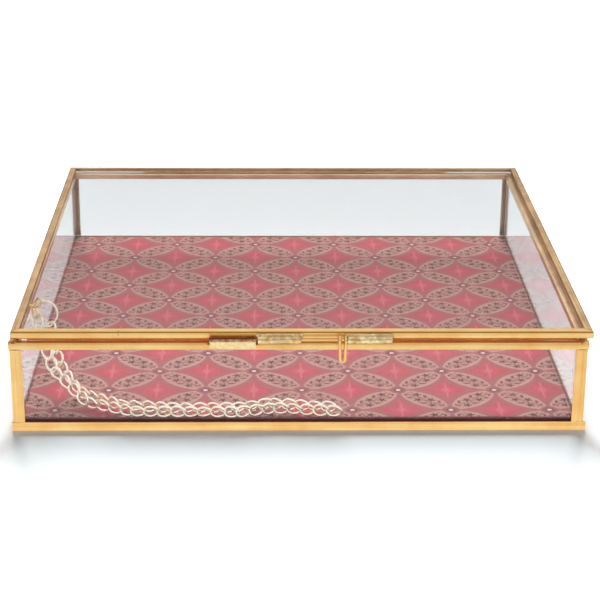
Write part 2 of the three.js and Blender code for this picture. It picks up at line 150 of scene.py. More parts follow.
def glow(tree, strength):
    """Plain white light."""
    return node(tree, "ShaderNodeEmission", {"Color": linear("FFFFFF"), "Strength": strength})


def bumpy_metal(tree, colour, roughness, height, strength, depth):
    """Ends a material as bare metal with dents."""
    bump = node(tree, "ShaderNodeBump", {"Height": height, "Strength": strength, "Distance": depth})
    metal = node(tree, "ShaderNodeBsdfPrincipled",
                 {"Base Color": colour, "Metallic": 1.0, "Roughness": roughness, "Normal": bump})
    node(tree, "ShaderNodeOutputMaterial", {"Surface": metal})


# Studio

# Brightness of the room on matt surfaces, and in the gloss by the height of the direction
ROOM_LIGHT = 0.30
ROOM_IN_GLOSS = ((0.0, 0.7), (0.08, 0.10), (0.22, 0.10), (0.36, 1.0), (0.75, 1.0), (0.95, 0.5))

# Rays that rise through glass see the dim room or the softbox, fading in over these heights
SKY_START = 0.10
SKY_END = 0.20
WHITE = 1.0
SOFTBOX_OVER_WHITE = 1.0

# A ray through one pane has crossed two sides of glass, and a ray from inside the box has crossed more
ONE_PANE_CROSSED = 2.5

# A filter on the lens holds back most of what glass reflects
THROUGH_FILTER = 0.25

# The floor keeps the shadow close to the box, and is lifted to white between these distances
FLOOR_HALF = 4.0
FLOOR_LIFT = 0.7
SHADOW_EDGE = 0.165
SHADOW_END = 0.24
BESIDE_SHIFT = 0.02

# The floor's brightness through glass, beside the box and behind it
FLOOR_BESIDE = 1.62
FLOOR_BEHIND = 1.47
BESIDE_END = 0.10
BEHIND_START = 0.19

# The floor's brightness in the gloss, near the box and far from it
FLOOR_NEAR = 0.22
FLOOR_FAR = 0.60
FLOOR_NEAR_IN_GLOSS = 1.05
FLOOR_FAR_IN_GLOSS = 0.80

# Each lamp's name, place, width in metres and power in watts
LAMP_AIM = Vector((0, 0, 0))
LAMPS = (
    ("main softbox", (0.0, 1.5, 0.80), 1.1, 76),
    ("overhead softbox", (0.2, -0.5, 1.9), 1.4, 2),
)


def lens_filter(tree, path):
    """Full light for the gloss of brass, and a small share for mirror images in glass."""
    return spread(tree, path.outputs["Is Singular Ray"], 0.0, 1.0, 1.0, THROUGH_FILTER)


def soft_studio():
    """A room that is white to the camera and gives plain soft light. In the gloss it is dim between
    backdrop and ceiling. Rays that rise through one pane see it dim, and those that rise out of the
    box through more glass see a softbox."""
    world = bpy.data.worlds.new("soft white room")
    bpy.context.scene.world = world
    world.use_nodes = True
    tree = world.node_tree
    tree.nodes.clear()
    calc, _ = maths(tree)
    path = node(tree, "ShaderNodeLightPath").node
    direction = node(tree, "ShaderNodeTexCoord", out="Generated")
    upward = part(tree, direction, "Z")
    level = spread(tree, upward, SKY_START, SKY_END, 1.0, 0.0)
    above = spread(tree, upward, SKY_START, SKY_END)
    from_inside = calc("GREATER_THAN", path.outputs["Transmission Depth"], ONE_PANE_CROSSED)
    through = calc("MULTIPLY", path.outputs["Is Transmission Ray"], calc("MAXIMUM", level, from_inside))
    seen = calc("MAXIMUM", path.outputs["Is Camera Ray"], through)
    in_gloss = node(tree, "ShaderNodeValToRGB", {0: upward})
    steps = in_gloss.node.color_ramp.elements
    steps.remove(steps[1])
    for height, brightness in ROOM_IN_GLOSS:
        step = steps.new(height) if height else steps[0]
        step.color = (brightness, brightness, brightness, 1)
    filtered = calc("MULTIPLY", in_gloss, lens_filter(tree, path))
    by_ray = node(tree, "ShaderNodeMix",
                  {"Factor": path.outputs["Is Glossy Ray"], "A": ROOM_LIGHT, "B": filtered})
    white = calc("MULTIPLY_ADD", calc("MULTIPLY", from_inside, above), SOFTBOX_OVER_WHITE, WHITE)
    strength = node(tree, "ShaderNodeMix", {"Factor": seen, "A": by_ray, "B": white})
    room = node(tree, "ShaderNodeBackground", {"Color": linear("FFFFFF"), "Strength": strength})
    node(tree, "ShaderNodeOutputWorld", {"Surface": room})


def soft_lamp(name, place, width, power):
    """A large square lamp, turned to the box. It shows neither in the gloss nor through glass."""
    data = bpy.data.lights.new(name, "AREA")
    data.shape = "SQUARE"
    data.size = width
    data.energy = power
    lamp = bpy.data.objects.new(name, data)
    bpy.context.scene.collection.objects.link(lamp)
    lamp.location = place
    lamp.rotation_euler = (LAMP_AIM - Vector(place)).to_track_quat("-Z", "Y").to_euler()
    lamp.visible_glossy = False
    lamp.visible_transmission = False


def pale_floor():
    """White paper that keeps the shadow close to the box and is plain white away from it. In the
    gloss and through glass it is plain white light."""
    bm = bmesh.new()
    bmesh.ops.create_grid(bm, x_segments=1, y_segments=1, size=FLOOR_HALF)
    mesh = bpy.data.meshes.new("floor")
    bm.to_mesh(mesh)
    bm.free()
    floor = bpy.data.objects.new("floor", mesh)
    bpy.context.scene.collection.objects.link(floor)
    material, tree, place = new_material("matt white paper")
    calc, _ = maths(tree)
    path = node(tree, "ShaderNodeLightPath").node
    paper = node(tree, "ShaderNodeBsdfDiffuse", {"Color": linear("F8F8F8")})
    off_middle = node(tree, "ShaderNodeVectorMath", {0: place}, operation="ABSOLUTE")
    beside = calc("ADD", part(tree, off_middle, "X"), BESIDE_SHIFT)
    off_box = calc("MAXIMUM", beside, part(tree, off_middle, "Y"))
    lift = glow(tree, spread(tree, off_box, SHADOW_EDGE, SHADOW_END, 0.0, FLOOR_LIFT))
    lifted = node(tree, "ShaderNodeAddShader", {0: paper, 1: lift})
    behind = spread(tree, part(tree, place, "Y"), BESIDE_END, BEHIND_START, FLOOR_BESIDE, FLOOR_BEHIND)
    through_glass = glow(tree, behind)
    away = node(tree, "ShaderNodeVectorMath", {0: place}, out="Value", operation="LENGTH")
    fading = spread(tree, away, FLOOR_NEAR, FLOOR_FAR, FLOOR_NEAR_IN_GLOSS, FLOOR_FAR_IN_GLOSS)
    in_gloss = glow(tree, calc("MULTIPLY", fading, lens_filter(tree, path)))
    surface = paper
    for ray, shown in (("Is Camera Ray", lifted), ("Is Glossy Ray", in_gloss),
                       ("Is Transmission Ray", through_glass)):
        surface = node(tree, "ShaderNodeMixShader", {0: path.outputs[ray], 1: surface, 2: shown})
    node(tree, "ShaderNodeOutputMaterial", {"Surface": surface})
    mesh.materials.append(material)


# Materials

# Sizes of marks, patches and dents, and how deep the dents are
DRAW_LINE = 0.9 * MM
DRAW_LINE_LENGTH = 60 * MM
BRASS_PATCH = 22 * MM
BRASS_STAIN = 8 * MM
BRASS_DENT = 9 * MM
BRASS_DENT_DEPTH = 0.22 * MM
WIRE_WEAR = 2.5 * MM
TUBE_PATCH = 3.2 * MM
TUBE_GREY = 9 * MM
TUBE_DENT_DEPTH = 0.35 * MM
BROWNED_PATCH = 2.2 * MM
BROWNED_DENT_DEPTH = 0.3 * MM
KEEPER_PATCH = 2.0 * MM
KEEPER_DENT_DEPTH = 0.2 * MM
BOARD_FIBRE = 0.7 * MM

# Where patches begin and end, as values of the noise that draws them
BRASS_TONES = (0.62, 0.98)
STAINS = (0.67, 0.77)
STAIN_STRENGTH = 0.7
SOFT_PATCHES = (0.35, 0.65)
CLEAR_PATCHES = (0.4, 0.6)
TUBE_PATCHES = (0.38, 0.62)
GREY_PATCHES = (0.52, 0.64)
GREY_STRENGTH = 0.6
DRAW_LINES = (0.3, 0.7)
BRASS_ROUGHNESS = (0.27, 0.42)
LINES_IN_TONE_SHARE = 0.55
LINES_IN_DENTS_SHARE = 0.06

# The painted shade line along the lid's front rail: a dark line where its fold lies in shade
LID_CREASE_SHADE = 54.6 * MM
CREASE_SHADE_HALF = 0.3 * MM

# The curl's front is painted pinkish-brown as shade and reflection, with a painted shade line at its
# opening
# Height of the keeper's neck, of its curl's opening, the curl's back, and how far colours fade there
KEEPER_NECK = 50.3 * MM
KEEPER_NECK_FADE = 0.2 * MM
KEEPER_OPENING_SHADE = 52.3 * MM
KEEPER_OPENING_SHADE_FADE = 0.4 * MM
KEEPER_BACK = -150.4 * MM
KEEPER_BACK_FADE = 0.3 * MM


def rolled_brass(name, bright, deep, grain_axis, crease_shade=None):
    """Thin brass strip, rolled and folded by hand, then lacquered: a warm mirror with faint draw lines
    along the strip, slow colour changes and brown tarnish in small patches. A crease shade is painted
    shade: a dark line at one height, where a fold lies in shade."""
    material, tree, place = new_material(name)
    calc, _ = maths(tree)
    stretch = [1 / DRAW_LINE] * 3
    stretch["XYZ".index(grain_axis)] = 1 / DRAW_LINE_LENGTH
    along = node(tree, "ShaderNodeMapping", {"Vector": place, "Scale": stretch})
    draw_lines = node(tree, "ShaderNodeTexNoise", {"Vector": along, "Scale": 1.0, "Detail": 3.0})
    tone = calc("MULTIPLY_ADD", draw_lines, LINES_IN_TONE_SHARE, mottle(tree, place, BRASS_PATCH))
    brass = between(tree, spread(tree, tone, *BRASS_TONES), bright, deep)
    stain = mottle(tree, place, BRASS_STAIN, detail=6.0, roughness=0.65)
    stained = between(tree, spread(tree, stain, *STAINS, 0.0, STAIN_STRENGTH), brass, "8A5A2C")
    # Painted shade: a dark line at the fold's height
    if crease_shade:
        on_crease_shade = calc("COMPARE", part(tree, place, "Z"), crease_shade, CREASE_SHADE_HALF)
        stained = between(tree, on_crease_shade, stained, "B07A3C")
    roughness = spread(tree, draw_lines, *DRAW_LINES, *BRASS_ROUGHNESS)
    dents = mottle(tree, place, BRASS_DENT, detail=2.0)
    surface = calc("MULTIPLY_ADD", draw_lines, LINES_IN_DENTS_SHARE, dents)
    bumpy_metal(tree, stained, roughness, surface, strength=0.5, depth=BRASS_DENT_DEPTH)
    return material


def float_glass():
    """Clear float glass, cut and polished: sharp reflections and a faint grey-green body.
    Lamps and soft light pass straight through it, so what lies inside is lit as in the open."""
    material, tree, _ = new_material("clear float glass")
    calc, _ = maths(tree)
    body = linear("F3F6F7")
    glass_body = node(tree, "ShaderNodeBsdfPrincipled",
                      {"Base Color": body, "Roughness": 0.0, "IOR": 1.5, "Transmission Weight": 1.0})
    clear = node(tree, "ShaderNodeBsdfTransparent", {"Color": body})
    path = node(tree, "ShaderNodeLightPath").node
    lighting = calc("MAXIMUM", path.outputs["Is Shadow Ray"], path.outputs["Is Diffuse Ray"])
    pane = node(tree, "ShaderNodeMixShader", {0: lighting, 1: glass_body, 2: clear})
    node(tree, "ShaderNodeOutputMaterial", {"Surface": pane})
    return material


def plated_chain_wire():
    """Round steel wire, bent into links and plated pale gold: creamy and bright, with a soft gloss."""
    material, tree, place = new_material("pale gold plated wire")
    wear = mottle(tree, place, WIRE_WEAR, detail=3.0)
    colour = between(tree, spread(tree, wear, *SOFT_PATCHES), "FFF6E6", "FFE8CA")
    metal = node(tree, "ShaderNodeBsdfPrincipled",
                 {"Base Color": colour, "Metallic": 0.7, "Roughness": 0.26})
    node(tree, "ShaderNodeOutputMaterial", {"Surface": metal})
    return material


def dull_tube_brass():
    """Brass strip rolled into a tube and left as soldered: olive-yellow, dented and mottled."""
    material, tree, place = new_material("soldered brass tube")
    patches = mottle(tree, place, TUBE_PATCH, detail=5.0)
    colour = between(tree, spread(tree, patches, *TUBE_PATCHES), "FFEBBA", "D6AE6C")
    grey = mottle(tree, place, TUBE_GREY, detail=2.0)
    greyed = between(tree, spread(tree, grey, *GREY_PATCHES, 0.0, GREY_STRENGTH), colour, "CDAB80")
    bumpy_metal(tree, greyed, roughness=0.36, height=patches, strength=0.7, depth=TUBE_DENT_DEPTH)
    return material


def browned_brass():
    """Brass beside a soldered joint, browned by the flame: dull brown-gold with dark flux stains. On the
    lump at the base's left front corner this dark colour is also painted shade.
    """
    material, tree, place = new_material("heat-browned brass")
    patches = mottle(tree, place, BROWNED_PATCH, detail=5.0)
    colour = between(tree, spread(tree, patches, *CLEAR_PATCHES), "C99A6C", "7A4A2C")
    bumpy_metal(tree, colour, roughness=0.32, height=patches, strength=0.6, depth=BROWNED_DENT_DEPTH)
    return material


def keeper_brass():
    """Pale brass strip, curled by hand: bright and creamy on its flat. The front of its curl is painted
    pinkish-brown as shade and reflection, and a dark line of painted shade runs where the curl opens."""
    material, tree, place = new_material("curled brass strip")
    patches = mottle(tree, place, KEEPER_PATCH, detail=4.0)
    flat = between(tree, spread(tree, patches, *SOFT_PATCHES), "FFF0B8", "F5D494")
    # Painted shade and reflection on the curl's front
    curl_shade = between(tree, spread(tree, patches, *CLEAR_PATCHES), "D8A486", "A0664E")

    def past(axis, limit, before, after):
        return spread(tree, part(tree, place, axis), limit - before, limit + after)

    # A dark painted shade line where the curl opens; behind the curl's back the flat colour stays
    opening_shade_line = between(tree, past("Z", KEEPER_OPENING_SHADE, 0, KEEPER_OPENING_SHADE_FADE), curl_shade, "5A2E16")
    rounded = between(tree, past("Y", KEEPER_BACK, KEEPER_BACK_FADE, KEEPER_BACK_FADE), opening_shade_line, flat)
    colour = between(tree, past("Z", KEEPER_NECK, KEEPER_NECK_FADE, KEEPER_NECK_FADE), flat, rounded)
    bumpy_metal(tree, colour, roughness=0.34, height=patches, strength=0.5, depth=KEEPER_DENT_DEPTH)
    return material


def grey_board():
    """Pressed grey board, cut with a knife: matt, with a faint fibre."""
    material, tree, place = new_material("pressed grey board")
    colour = between(tree, mottle(tree, place, BOARD_FIBRE), "5E5048", "7A6A60")
    board = node(tree, "ShaderNodeBsdfPrincipled", {"Base Color": colour, "Roughness": 0.9})
    node(tree, "ShaderNodeOutputMaterial", {"Surface": board})
    return material


# The print repeats every 52.5 mm along the box, in cells that stand on their corners
PRINT_REPEAT = 52.5 * MM
PRINT_FIRST_DOT = (-25.0 * MM, 129.7 * MM, 0)
PRINT_TURN = math.radians(-45)
PRINT_CELL = PRINT_REPEAT / math.sqrt(2)
PRINT_CIRCLE = PRINT_CELL / math.sqrt(2)
PETAL_END = 4.2 * MM
PETAL_ROUND = 2.5 * MM
PETAL_RIM = 1.2 * MM
SPRIG_WAVE = 11 * MM
SPRIG_SWAY = 1.0 * MM
STEM_HALF = 0.35 * MM
FLOWER_PITCH = 5.0 * MM
FLOWER_OUT = 2.3 * MM
FLOWER_RADIUS = 2.7 * MM
FLOWER_ARMS = 5
LEAF_OUT = 3.6 * MM
LEAF_LENGTH_HALF = 2.0 * MM
LEAF_WIDTH_HALF = 0.85 * MM
LEAF_TILT = math.radians(40)
DOT_RADIUS = 1.3 * MM
DOT_RING = 3.0 * MM
EMBLEM_RING = 1.7 * MM
EMBLEM_LINE_HALF = 0.3 * MM
EMBLEM_LINE_END = 9 * MM

# Where one colour of the print fades into the next, measured from the outline of each shape
STAR_FADE = (-1.4 * MM, -4.8 * MM)
HEART_FADE = (-4.5 * MM, -9.0 * MM)
EMBLEM_RING_FADE = (0.6 * MM, 0.2 * MM)
EMBLEM_LINE_FADE = (EMBLEM_LINE_HALF + 0.4 * MM, EMBLEM_LINE_HALF)
EMBLEM_END_FADE = (EMBLEM_LINE_END + 3 * MM, EMBLEM_LINE_END)
PETAL_BODY_FADE = (PETAL_RIM + 1.8 * MM, PETAL_RIM)
PETAL_RIM_FADE = (0.1 * MM, 0.8 * MM)
PETAL_EDGE_FADE = (-0.3 * MM, 0.3 * MM)
INK_FADE = (PETAL_RIM + 0.2 * MM, PETAL_RIM + 1.0 * MM)
STEM_FADE = (STEM_HALF + 0.25 * MM, STEM_HALF)
DUSK_FADE = (5.2 * MM, DOT_RING)
DOT_RING_FADE = (DOT_RING, DOT_RADIUS + 0.6 * MM)
DOT_FADE = (DOT_RADIUS + 0.3 * MM, DOT_RADIUS - 0.3 * MM)

# How wavy a flower's outline is, and where flowers and leaves fade, as shares of their own size
FLOWER_WAVE_SHARE = 0.30
FLOWER_BODY_SHARE = 0.66
FLOWER_FADE_SHARES = (1.15, 0.85)
LEAF_FADE_SHARES = (1.2, 0.8)

# The cloth: how far the ink bleeds, its aged patches, the worn edge in front with its painted shade and
# painted shade line at its foot, and the weave
INK_BLEED = 1.1 * MM
BLEED_PATCHES = (0.3, 0.5)
INK_STRENGTHS = (0.7, 1.0)
AGED_PATCH = 30 * MM
AGED_PATCHES = (0.35, 0.7)
AGED_STRENGTH = 0.18
WORN_THREAD = 5.0 * MM
WORN_THREADS = (0.62, 0.72)
# Where the painted shade line at the front edge's foot begins and is full, and where the edge's painted
# shade begins and is full
FOOT_SHADE_TOP = 0.8 * MM
FOOT_SHADE_FULL = 0.5 * MM
FRONT_EDGE_START = 0.9 * MM
FRONT_EDGE_FULL = 0.35 * MM
# The weave is drawn about three times as wide as the real thread spacing, so that it shows
WEAVE_SPACING = 0.7 * MM
WEAVE_DEPTH = 0.05 * MM
WAVES_IN_A_UNIT = 3


def sprig(tree, along, across):
    """A wavy stem with small flowers and leaves on both sides in turn, as a share of dark ink."""
    calc, length = maths(tree)
    wave = calc("SINE", calc("MULTIPLY", along, math.tau / SPRIG_WAVE))
    off_stem = calc("ABSOLUTE", calc("SUBTRACT", across, calc("MULTIPLY", wave, SPRIG_SWAY)))
    stem = spread(tree, off_stem, *STEM_FADE, 0.0, 0.5)
    count = calc("MULTIPLY", along, 1 / FLOWER_PITCH)
    inside = calc("MULTIPLY", calc("SUBTRACT", calc("FRACT", count), 0.5), FLOWER_PITCH)
    turn = calc("SUBTRACT", calc("MULTIPLY", calc("FLOORED_MODULO", calc("FLOOR", count), 2.0), 2.0), 1.0)
    from_flower = calc("SUBTRACT", across, calc("MULTIPLY", turn, FLOWER_OUT))
    arm_turn = calc("MULTIPLY_ADD", calc("ARCTAN2", from_flower, inside), FLOWER_ARMS, calc("FLOOR", count))
    arms = calc("MULTIPLY_ADD", calc("COSINE", arm_turn), FLOWER_WAVE_SHARE, FLOWER_BODY_SHARE)
    in_flower = calc("DIVIDE", length(inside, from_flower), calc("MULTIPLY", arms, FLOWER_RADIUS))
    flower = spread(tree, in_flower, *FLOWER_FADE_SHARES)
    from_leaf = calc("ADD", across, calc("MULTIPLY", turn, LEAF_OUT))
    sine = calc("MULTIPLY", turn, -math.sin(LEAF_TILT))
    cosine = math.cos(LEAF_TILT)
    lengthwise = calc("ADD", calc("MULTIPLY", inside, cosine), calc("MULTIPLY", from_leaf, sine))
    crosswise = calc("SUBTRACT", calc("MULTIPLY", from_leaf, cosine), calc("MULTIPLY", inside, sine))
    in_leaf = length(calc("MULTIPLY", lengthwise, 1 / LEAF_LENGTH_HALF),
                     calc("MULTIPLY", crosswise, 1 / LEAF_WIDTH_HALF))
    leaf = spread(tree, in_leaf, *LEAF_FADE_SHARES, 0.0, 0.85)
    return calc("MAXIMUM", stem, calc("MAXIMUM", flower, leaf))


def printed_cotton():
    """Cotton, printed with overlapping circles and pasted over the board: matt, with red stars on a dusky
    ground, pale petals with dark sprigs, and a pearly dot where four petals meet. The front edge, turned
    down, is painted dark as shade, with pale worn threads, and a dark red line of painted shade at its
    foot."""
    material, tree, place = new_material("printed cotton")
    calc, length = maths(tree)

    centred = node(tree, "ShaderNodeVectorMath", {0: place, 1: PRINT_FIRST_DOT}, operation="SUBTRACT")
    turned = node(tree, "ShaderNodeVectorRotate", {"Vector": centred, "Angle": PRINT_TURN},
                  rotation_type="Z_AXIS")
    inside = {}
    across = {}
    for axis in ("X", "Y"):
        share = calc("FRACT", calc("MULTIPLY", part(tree, turned, axis), 1 / PRINT_CELL))
        inside[axis] = calc("MULTIPLY_ADD", share, PRINT_CELL, -PRINT_CELL / 2)
        across[axis] = calc("ABSOLUTE", inside[axis])
    depth = {}
    for axis, other in (("X", "Y"), ("Y", "X")):
        from_side = length(calc("SUBTRACT", across[axis], PRINT_CELL), across[other])
        depth[axis] = calc("SUBTRACT", PRINT_CIRCLE, from_side)
    lens = calc("MAXIMUM", depth["X"], depth["Y"])
    to_corner = [calc("SUBTRACT", PRINT_CELL / 2, across[axis]) for axis in ("X", "Y")]
    to_dot = length(*to_corner)
    petal = calc("SMOOTH_MIN", lens, calc("SUBTRACT", to_dot, PETAL_END), PETAL_ROUND)

    # How far a point lies along and across the petal that it is in
    which = calc("GREATER_THAN", depth["X"], depth["Y"])
    off_edge = {}
    for axis in ("X", "Y"):
        from_edge = calc("SUBTRACT", across[axis], PRINT_CELL / 2)
        off_edge[axis] = calc("MULTIPLY", calc("SIGN", inside[axis]), from_edge)
    along_petal = node(tree, "ShaderNodeMix", {"Factor": which, "A": inside["X"], "B": inside["Y"]})
    across_petal = node(tree, "ShaderNodeMix", {"Factor": which, "A": off_edge["Y"], "B": off_edge["X"]})

    soften = mottle(tree, place, INK_BLEED, detail=3.0)
    blur = calc("MULTIPLY", calc("SUBTRACT", soften, 0.5), INK_BLEED)
    rough_petal = calc("ADD", petal, blur)
    star = between(tree, spread(tree, calc("ADD", lens, blur), *STAR_FADE), "B66A67", "D2555E")
    heart = between(tree, spread(tree, lens, *HEART_FADE, 0.0, 0.8), star, "DE616B")
    from_middle = length(inside["X"], inside["Y"])
    off_ring = calc("ABSOLUTE", calc("SUBTRACT", from_middle, EMBLEM_RING))
    ring = spread(tree, off_ring, *EMBLEM_RING_FADE, 0.0, 0.45)
    diagonal = calc("MULTIPLY", calc("SUBTRACT", inside["X"], inside["Y"]), 1 / math.sqrt(2))
    sideways = calc("ABSOLUTE", diagonal)
    line = calc("MULTIPLY", spread(tree, sideways, *EMBLEM_LINE_FADE, 0.0, 0.35),
                spread(tree, from_middle, *EMBLEM_END_FADE))
    marked = between(tree, calc("MAXIMUM", ring, line), heart, "F09CA0")
    body = between(tree, spread(tree, rough_petal, *PETAL_BODY_FADE), "CC9488", "D89C92")
    rim = between(tree, spread(tree, rough_petal, *PETAL_RIM_FADE), "BC7670", body)
    flat = between(tree, spread(tree, rough_petal, *PETAL_EDGE_FADE), marked, rim)
    ink_strength = spread(tree, soften, *BLEED_PATCHES, *INK_STRENGTHS)
    in_body = spread(tree, petal, *INK_FADE)
    drawn = calc("MULTIPLY", sprig(tree, along_petal, across_petal), ink_strength)
    inked = between(tree, calc("MULTIPLY", drawn, in_body), flat, "6A3434")

    dusk = between(tree, spread(tree, to_dot, *DUSK_FADE, 0.0, 0.5), inked, "A05C5C")
    ringed = between(tree, spread(tree, to_dot, *DOT_RING_FADE, 0.0, 0.8), dusk, "74363E")
    printed = between(tree, spread(tree, to_dot, *DOT_FADE), ringed, "F5D4D6")
    patches = mottle(tree, place, AGED_PATCH, detail=2.0)
    dulled = between(tree, spread(tree, patches, *AGED_PATCHES, 0.0, AGED_STRENGTH), printed, "C07A76")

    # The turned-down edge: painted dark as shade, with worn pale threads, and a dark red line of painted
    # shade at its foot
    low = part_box("printed_cover")[0]
    threads = mottle(tree, place, WORN_THREAD, detail=8.0, roughness=0.75)
    worn_edge_in_painted_shade = between(tree, spread(tree, threads, *WORN_THREADS), "B05A5C", "E4D0C4")
    # Painted shade: a dark red line at the foot, which also colours the hem
    foot_shade_line = spread(tree, part(tree, place, "Z"), low.z + FOOT_SHADE_TOP, low.z + FOOT_SHADE_FULL)
    edge_with_painted_shade = between(tree, foot_shade_line, worn_edge_in_painted_shade, "9A3214")
    front_edge = spread(tree, part(tree, place, "Y"), low.y + FRONT_EDGE_START, low.y + FRONT_EDGE_FULL)
    cover = between(tree, front_edge, dulled, edge_with_painted_shade)

    weave_scale = 1 / WEAVE_SPACING / WAVES_IN_A_UNIT
    weave = node(tree, "ShaderNodeTexWave", {"Vector": place, "Scale": weave_scale, "Distortion": 2.0})
    bump = node(tree, "ShaderNodeBump", {"Height": weave, "Strength": 0.25, "Distance": WEAVE_DEPTH})
    cloth = node(tree, "ShaderNodeBsdfPrincipled",
                 {"Base Color": cover, "Roughness": 0.85, "Specular IOR Level": 0.25, "Normal": bump})
    node(tree, "ShaderNodeOutputMaterial", {"Surface": cloth})
    return material


# Making and placing pieces

MERGE_DISTANCE = 0.000001
EDGE_STEPS = 3
# Angles between faces, in degrees, from which an edge is sharp
SHARP_FROM = 35
SHARP_ON_WIRE = 60
SHARP_NOWHERE = 180


def uneven(spot):
    """Smooth noise between 0 and 1."""
    return 0.5 + 0.5 * noise.noise(spot)


def rounded_off(bm, items, radius, steps, affect="EDGES"):
    """Rounds off edges, or the corners of a row of edges."""
    bmesh.ops.bevel(bm, geom=items, offset=radius, offset_type="OFFSET", affect=affect, segments=steps,
                    profile=0.5, material=-1)


def finished(name, bm, material, body, replaced=(), sharp_from=SHARP_FROM):
    """Turns a bmesh into a piece that rides on a body and stands for CAD nodes."""
    bmesh.ops.remove_doubles(bm, verts=bm.verts, dist=MERGE_DISTANCE)
    bmesh.ops.recalc_face_normals(bm, faces=bm.faces)
    for face in bm.faces:
        face.smooth = True
    mesh = bpy.data.meshes.new(name)
    bm.to_mesh(mesh)
    bm.free()
    mesh.set_sharp_from_angle(angle=math.radians(sharp_from))
    mesh.materials.append(material)
    piece = bpy.data.objects.new(name, mesh)
    bpy.context.scene.collection.objects.link(piece)
    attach(piece, body)
    if replaced:
        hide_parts(*replaced)
    return piece


def give_finish(names, material, edge=0):
    """Puts a material on CAD nodes, and a soft edge on their folds."""
    for name in names:
        piece = nodes[name]
        piece.data.materials.clear()
        piece.data.materials.append(material)
        if edge:
            weld = piece.modifiers.new("joined faces", "WELD")
            weld.merge_threshold = MERGE_DISTANCE
            bevel = piece.modifiers.new("folded edge", "BEVEL")
            bevel.width = edge
            bevel.segments = EDGE_STEPS
            bevel.limit_method = "ANGLE"
            bevel.harden_normals = True


def drawn_out(bm, edges, step, count=1):
    """Draws a row of edges out into a sheet, one step after another."""
    for _ in range(count):
        made = bmesh.ops.extrude_edge_only(bm, edges=edges)["geom"]
        fresh = {item for item in made if isinstance(item, bmesh.types.BMVert)}
        bmesh.ops.translate(bm, vec=step, verts=list(fresh))
        edges = [edge for edge in bm.edges if edge.verts[0] in fresh and edge.verts[1] in fresh]


def walled(bm, thickness, outward):
    """Gives a sheet its thickness, on the side that faces away from the outward direction."""
    outward = Vector(outward)
    bmesh.ops.recalc_face_normals(bm, faces=bm.faces)
    bm.normal_update()
    outermost = max(bm.faces, key=lambda face: face.calc_center_median().dot(outward))
    if outermost.normal.dot(outward) < 0:
        bmesh.ops.reverse_faces(bm, faces=bm.faces)
    bmesh.ops.solidify(bm, geom=bm.faces[:], thickness=thickness)


def sawn_off(bm, point, normal):
    """Saws off what lies past a plane, and closes the cut."""
    everything = bm.verts[:] + bm.edges[:] + bm.faces[:]
    made = bmesh.ops.bisect_plane(bm, geom=everything, plane_co=point, plane_no=normal, clear_outer=True)
    rim = [item for item in made["geom_cut"] if isinstance(item, bmesh.types.BMEdge)]
    bmesh.ops.edgeloop_fill(bm, edges=rim)


# Frame: brass strips folded lengthwise

SHEET = 0.5 * MM
FOLD_RADIUS = 0.8 * MM
FOLD_STEPS = 6
FOLD_SOFTNESS = 0.15 * MM
# How far a ridge stands out from a post's face
RIDGE = 0.16 * MM

# The turned-down edge of the lid's front rail stops short of the corners
EDGE_SHORT = 7.5 * MM
EDGE_DEPTH = 2.2 * MM

# Outlines as shares of a strip's own width, counted inward from the wall, and height
TOP_CHANNEL_SHARES = ((0.02, 0), (0, 0.4), (0.025, 1), (1, 1), (1, 0))
LID_CHANNEL_SHARES = ((1, 0), (0.02, 0), (0, 0.4), (0.025, 1), (1, 1))
BOTTOM_ANGLE_SHARES = ((0.025, 1), (0, 0.6), (0.02, 0), (1, 0))
RIDGE_PLACE_SHARES = (0.30, 0.52, 0.74)
RIDGE_HALF_SHARE = 0.05

WALL_TURNS = {"front": 0, "right": 90, "back": 180, "left": 270}


def folded_row(bm, points, folds):
    """A row of edges through some points, with the folds rounded."""
    verts = [bm.verts.new(point) for point in points]
    for first, second in zip(verts, verts[1:]):
        bm.edges.new((first, second))
    rounded_off(bm, [verts[place] for place in folds], FOLD_RADIUS, FOLD_STEPS, "VERTICES")


def on_wall(low, high, side):
    """The turn that lays a strip, drawn along X with Y inward, on one wall."""
    middle = (low + high) / 2
    outer = {"front": (middle.x, low.y), "right": (high.x, middle.y),
             "back": (middle.x, high.y), "left": (low.x, middle.y)}[side]
    return Matrix.Translation((*outer, 0)) @ Matrix.Rotation(math.radians(WALL_TURNS[side]), 4, "Z")


def folded_rail(name, side, shares, material, body, mitred=False):
    """One rail of the frame, folded from strip, in place of its CAD node."""
    low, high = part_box(name)
    size = high - low
    length, width = (size.x, size.y) if side in ("front", "back") else (size.y, size.x)
    end = length / 2
    points = [(-end, inward * width, low.z + up * size.z) for inward, up in shares]
    bm = bmesh.new()
    folded_row(bm, points, range(1, len(points) - 1))
    drawn_out(bm, bm.edges[:], (length, 0, 0))
    walled(bm, SHEET, (0, -1, 0))
    if mitred:
        for way in (-1, 1):
            sawn_off(bm, (way * end, 0, 0), (way, 1, 0))
    bmesh.ops.transform(bm, matrix=on_wall(low, high, side), verts=bm.verts)
    finished(f"folded_{name}", bm, material, body, [name])


